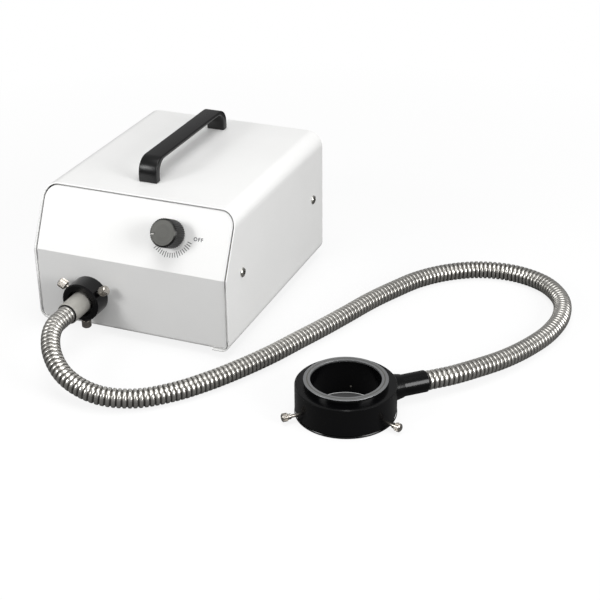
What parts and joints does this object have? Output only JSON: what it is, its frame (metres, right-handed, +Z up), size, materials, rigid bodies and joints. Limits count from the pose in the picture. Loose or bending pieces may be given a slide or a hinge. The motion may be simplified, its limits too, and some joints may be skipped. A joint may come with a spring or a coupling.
{
  "type": "fiber optic illuminator",
  "caption": "Sheet-metal fiber optic light source with a sloped dimmer panel and carrying handle, a light socket with thumbscrews, and a metal-hosed light guide that ends in a ring light",
  "frame": {"origin": "on the bench under the middle of everything except the free light guide: the case, the ring head and its arm", "axes": "+Z up from the bench; -Y is the way the case's front faces; +X runs along the case's width towards the ring head"},
  "size_m": [0.4414, 0.3528, 0.1484],
  "materials": {
    "white_enamel": "fine powder coat",
    "zinc_screw": "bright zinc",
    "rubber_foot": "matt",
    "handle_black": "satin moulded",
    "black_anodised": "black anodised",
    "satin_aluminium": "satin turned",
    "nickel_screw": "nickel plated, knurled",
    "hose_steel": "interlocked strip",
    "dark_ring": "matt",
    "fibre_glass": "ground and polished ends",
    "knob_plastic": "satin",
    "spun_disc": "spun",
    "plain_steel": "rolled",
    "core_iron": "stacked sheets",
    "coil_tape": "insulating tape",
    "board_green": "solder mask",
    "capacitor_blue": "sleeved",
    "post_brass": "turned",
    "mirror_glass": "coated",
    "lamp_quartz": "clear",
    "filter_glass": "clear",
    "ceramic": "steatite",
    "fan_black": "moulded",
    "guard_wire": "plated",
    "inlet_black": "moulded",
    "wire_cream": "silicone",
    "wire_brown": "insulation",
    "wire_red": "insulation"
  },
  "bodies": {
    "base": {"cover": "white_enamel", "chassis": "white_enamel", "rear_panel": "white_enamel", "cover_screws": "zinc_screw", "rear_panel_screws": "zinc_screw", "feet": "rubber_foot", "foot_screws": "zinc_screw", "handle": "handle_black", "handle_screws": "zinc_screw", "nosepiece": "black_anodised", "nosepiece_nut": "plain_steel", "ferrule": "satin_aluminium", "ferrule_crimp": "dark_ring", "hose": "hose_steel", "fibre_bundle": "fibre_glass", "arm_tube": "black_anodised", "ring_body": "black_anodised", "ring_sleeve": "black_anodised", "fibre_ring": "fibre_glass", "dimmer": "plain_steel", "dimmer_nut": "zinc_screw", "dimmer_board": "board_green", "board_posts": "post_brass", "heat_sink": "satin_aluminium", "capacitors": "capacitor_blue", "lamp_reflector": "mirror_glass", "lamp_bulb": "lamp_quartz", "lamp_socket": "ceramic", "lamp_bracket": "plain_steel", "lamp_clips": "plain_steel", "heat_filter": "filter_glass", "transformer_core": "core_iron", "transformer_coil": "coil_tape", "transformer_strap": "plain_steel", "bracket_screws": "zinc_screw", "fan_frame": "fan_black", "fan_guard": "guard_wire", "fan_screws": "zinc_screw", "mains_inlet": "inlet_black", "inlet_screws": "zinc_screw", "lamp_lead": "wire_cream", "mains_lead": "wire_brown", "knob_lead": "wire_red"},
    "knob_turn_body": {"knob": "knob_plastic", "knob_disc": "spun_disc", "knob_set_screw": "plain_steel", "dimmer_shaft": "satin_aluminium"},
    "fan_wheel": {"fan_rotor": "fan_black"},
    "socket_screw_left": {"socket_screw_left": "nickel_screw"},
    "socket_screw_right": {"socket_screw_right": "nickel_screw"},
    "socket_screw_bottom": {"socket_screw_bottom": "nickel_screw"},
    "ring_screw_back": {"ring_screw_back": "nickel_screw"},
    "ring_screw_front": {"ring_screw_front": "nickel_screw"},
    "ring_screw_right": {"ring_screw_right": "nickel_screw"},
    "drawer": {"fuse_drawer": "inlet_black", "fuses": "plain_steel"}
  },
  "joints": [
    {"name": "dim", "type": "hinge", "parent": "base", "child": "knob_turn_body", "pos_m": [-0.052, -0.05669, 0.10202], "axis": [0, -0.8928, 0.4505], "range_deg": [-140, 160]},
    {"name": "fan_spin", "type": "hinge", "parent": "base", "child": "fan_wheel", "pos_m": [-0.128, 0.1455, 0.0644], "axis": [0, 1, 0], "continuous": true},
    {"name": "socket_left_out", "type": "slide", "parent": "base", "child": "socket_screw_left", "axis": [-0.866, 0, 0.5], "range_m": [0, 0.005]},
    {"name": "socket_right_out", "type": "slide", "parent": "base", "child": "socket_screw_right", "axis": [0.866, 0, 0.5], "range_m": [0, 0.005]},
    {"name": "socket_bottom_out", "type": "slide", "parent": "base", "child": "socket_screw_bottom", "axis": [0, 0, -1], "range_m": [0, 0.005]},
    {"name": "ring_back_travel", "type": "slide", "parent": "base", "child": "ring_screw_back", "axis": [-0.2079, 0.9781, 0], "range_m": [-0.0055, 0.0025]},
    {"name": "ring_front_travel", "type": "slide", "parent": "base", "child": "ring_screw_front", "axis": [-0.7431, -0.6691, 0], "range_m": [-0.0055, 0.0025]},
    {"name": "ring_right_travel", "type": "slide", "parent": "base", "child": "ring_screw_right", "axis": [0.9511, -0.309, 0], "range_m": [-0.0055, 0.0025]},
    {"name": "drawer_out", "type": "slide", "parent": "base", "child": "drawer", "axis": [0, 1, 0], "range_m": [0, 0.016]}
  ]
}
